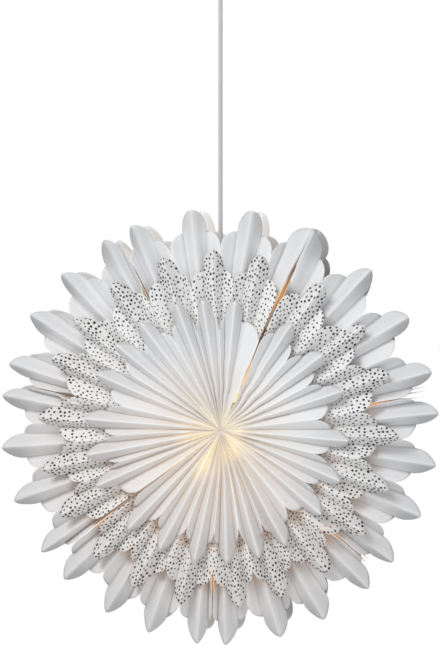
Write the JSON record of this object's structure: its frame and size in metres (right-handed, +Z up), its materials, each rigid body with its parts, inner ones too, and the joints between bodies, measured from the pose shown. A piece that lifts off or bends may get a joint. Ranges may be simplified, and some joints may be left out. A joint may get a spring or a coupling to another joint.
{
  "type": "paper star lantern",
  "caption": "Folding paper star lantern of pleated petals in plain and dotted tiers, hung on its cord from a ceiling cup, with a lampholder and bulb inside.",
  "frame": {"origin": "centre of the ceiling plate's upper face, where it meets the ceiling; the star hangs below", "axes": "+Z up along the cord, -Y out of the star's front, +X to the right as seen from the front"},
  "size_m": [0.5978, 0.182, 0.9998],
  "materials": {
    "petal_paper": "matte, smooth",
    "dotted_paper": "matte, with small dark dots",
    "wall_paper": "matte",
    "card": "matte",
    "pad": "woven hook and loop",
    "cord": "smooth round sheath",
    "white_plastic": "moulded",
    "ceramic": "unglazed",
    "brass": "bright",
    "bulb_glass": "frosted",
    "bulb_metal": "plated",
    "bulb_black": "fused black glass",
    "filament": "phosphor coated",
    "steel": "zinc plated",
    "cup_paint": "satin white",
    "liner_plastic": "natural nylon"
  },
  "bodies": {
    "ceiling": {"ceiling_plate": "steel", "ceiling_cup": "cup_paint", "cup_screws": "steel"},
    "swing_liner": {"socket_liner": "liner_plastic"},
    "pendant": {"swivel_ball": "steel", "ball_screw": "steel", "terminal_block": "white_plastic", "cord": "cord", "cord_grip": "white_plastic", "holder_cap": "white_plastic", "holder_body": "white_plastic", "contact_insert": "ceramic", "thread_sleeve": "brass", "holder_contacts": "brass"},
    "shade_ring": {"shade_ring": "white_plastic"},
    "bulb_travel": {"bulb_contact": "bulb_metal"},
    "bulb": {"bulb_glass": "bulb_glass", "bulb_cap": "bulb_metal", "bulb_insulator": "bulb_black", "filaments": "filament"},
    "star": {"inner_petals_1": "petal_paper", "inner_petals_2": "petal_paper", "inner_petals_3": "petal_paper", "inner_petals_4": "petal_paper", "inner_petals_5": "petal_paper", "inner_petals_6": "petal_paper", "inner_petals_7": "petal_paper", "dotted_petals_1": "dotted_paper", "dotted_petals_2": "dotted_paper", "dotted_petals_3": "dotted_paper", "dotted_petals_4": "dotted_paper", "dotted_petals_5": "dotted_paper", "dotted_petals_6": "dotted_paper", "dotted_petals_7": "dotted_paper", "outer_petals_1": "petal_paper", "outer_petals_2": "petal_paper", "outer_petals_3": "petal_paper", "outer_petals_4": "petal_paper", "outer_petals_5": "petal_paper", "outer_petals_6": "petal_paper", "outer_petals_7": "petal_paper", "seam_wall_1": "wall_paper", "seam_wall_2": "wall_paper", "seam_wall_3": "wall_paper", "seam_wall_4": "wall_paper", "seam_wall_5": "wall_paper", "seam_wall_6": "wall_paper", "first_end_wall": "wall_paper", "last_end_wall": "wall_paper", "hook_pads": "pad", "loop_pads": "pad", "hanger_card": "card"}
  },
  "joints": [
    {"name": "swing_front_back", "type": "hinge", "parent": "ceiling", "child": "swing_liner", "pos_m": [0, 0, -0.05], "axis": [1, 0, 0], "range_deg": [-15, 15]},
    {"name": "swing_sideways", "type": "hinge", "parent": "swing_liner", "child": "pendant", "pos_m": [0, 0, -0.05], "axis": [0, 1, 0], "range_deg": [-15, 15]},
    {"name": "star_turn", "type": "hinge", "parent": "pendant", "child": "star", "pos_m": [0, 0, -0.634], "axis": [0, 0, 1], "continuous": true},
    {"name": "ring_unscrew", "type": "slide", "parent": "pendant", "child": "shade_ring", "axis": [0, 0, -1], "range_m": [0, 0.012]},
    {"name": "bulb_travel", "type": "slide", "parent": "pendant", "child": "bulb_travel", "axis": [0, 0, -1], "range_m": [0, 0.014]},
    {"name": "bulb_unscrew", "type": "hinge", "parent": "bulb_travel", "child": "bulb", "pos_m": [0, 0, -0.7], "axis": [0, 0, -1], "range_deg": [0, 1780]}
  ],
  "couplings": [
    {"joint": "bulb_travel", "follows": "bulb_unscrew", "m_per_rad": 0.00044914}
  ]
}
